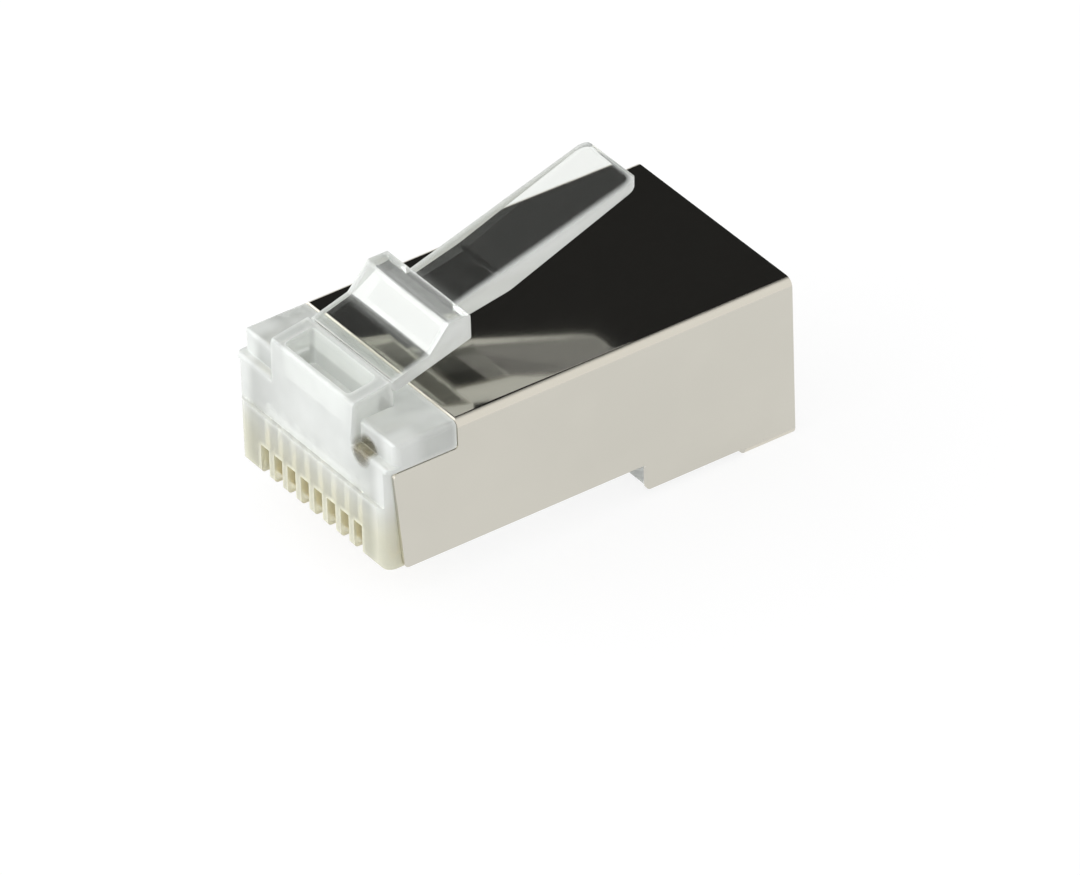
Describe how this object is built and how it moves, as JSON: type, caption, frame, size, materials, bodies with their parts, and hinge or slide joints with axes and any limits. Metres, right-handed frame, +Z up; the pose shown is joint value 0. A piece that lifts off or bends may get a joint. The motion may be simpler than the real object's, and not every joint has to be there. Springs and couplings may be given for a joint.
{
  "type": "modular plug",
  "caption": "Shielded modular plug for round data cable: clear moulded housing with a sprung latch, gold contact blades and a folded metal shield.",
  "frame": {"origin": "middle of the width and of the length, on the plane of the strap's underside", "axes": "+X across the plug, +Y towards the cable end with the nose facing -Y, +Z up towards the latch"},
  "size_m": [0.0116, 0.0216, 0.0136],
  "materials": {
    "clear_plastic": "clear moulded polycarbonate",
    "nickel_sheet": "bright nickel plating on folded copper alloy sheet",
    "gold_contact": "gold plating on stamped phosphor bronze"
  },
  "bodies": {
    "plug_body": {"housing": "clear_plastic", "shield": "nickel_sheet", "contact_1": "gold_contact", "contact_2": "gold_contact", "contact_3": "gold_contact", "contact_4": "gold_contact", "contact_5": "gold_contact", "contact_6": "gold_contact", "contact_7": "gold_contact", "contact_8": "gold_contact"},
    "latch_arm": {"latch": "clear_plastic"}
  },
  "joints": [
    {"name": "latch_flex", "type": "hinge", "parent": "plug_body", "child": "latch_arm", "pos_m": [0, -0.00818, 0.00915], "axis": [-1, 0, 0], "range_deg": [0, 17], "stiffness_Nm_per_rad": 0.3}
  ]
}
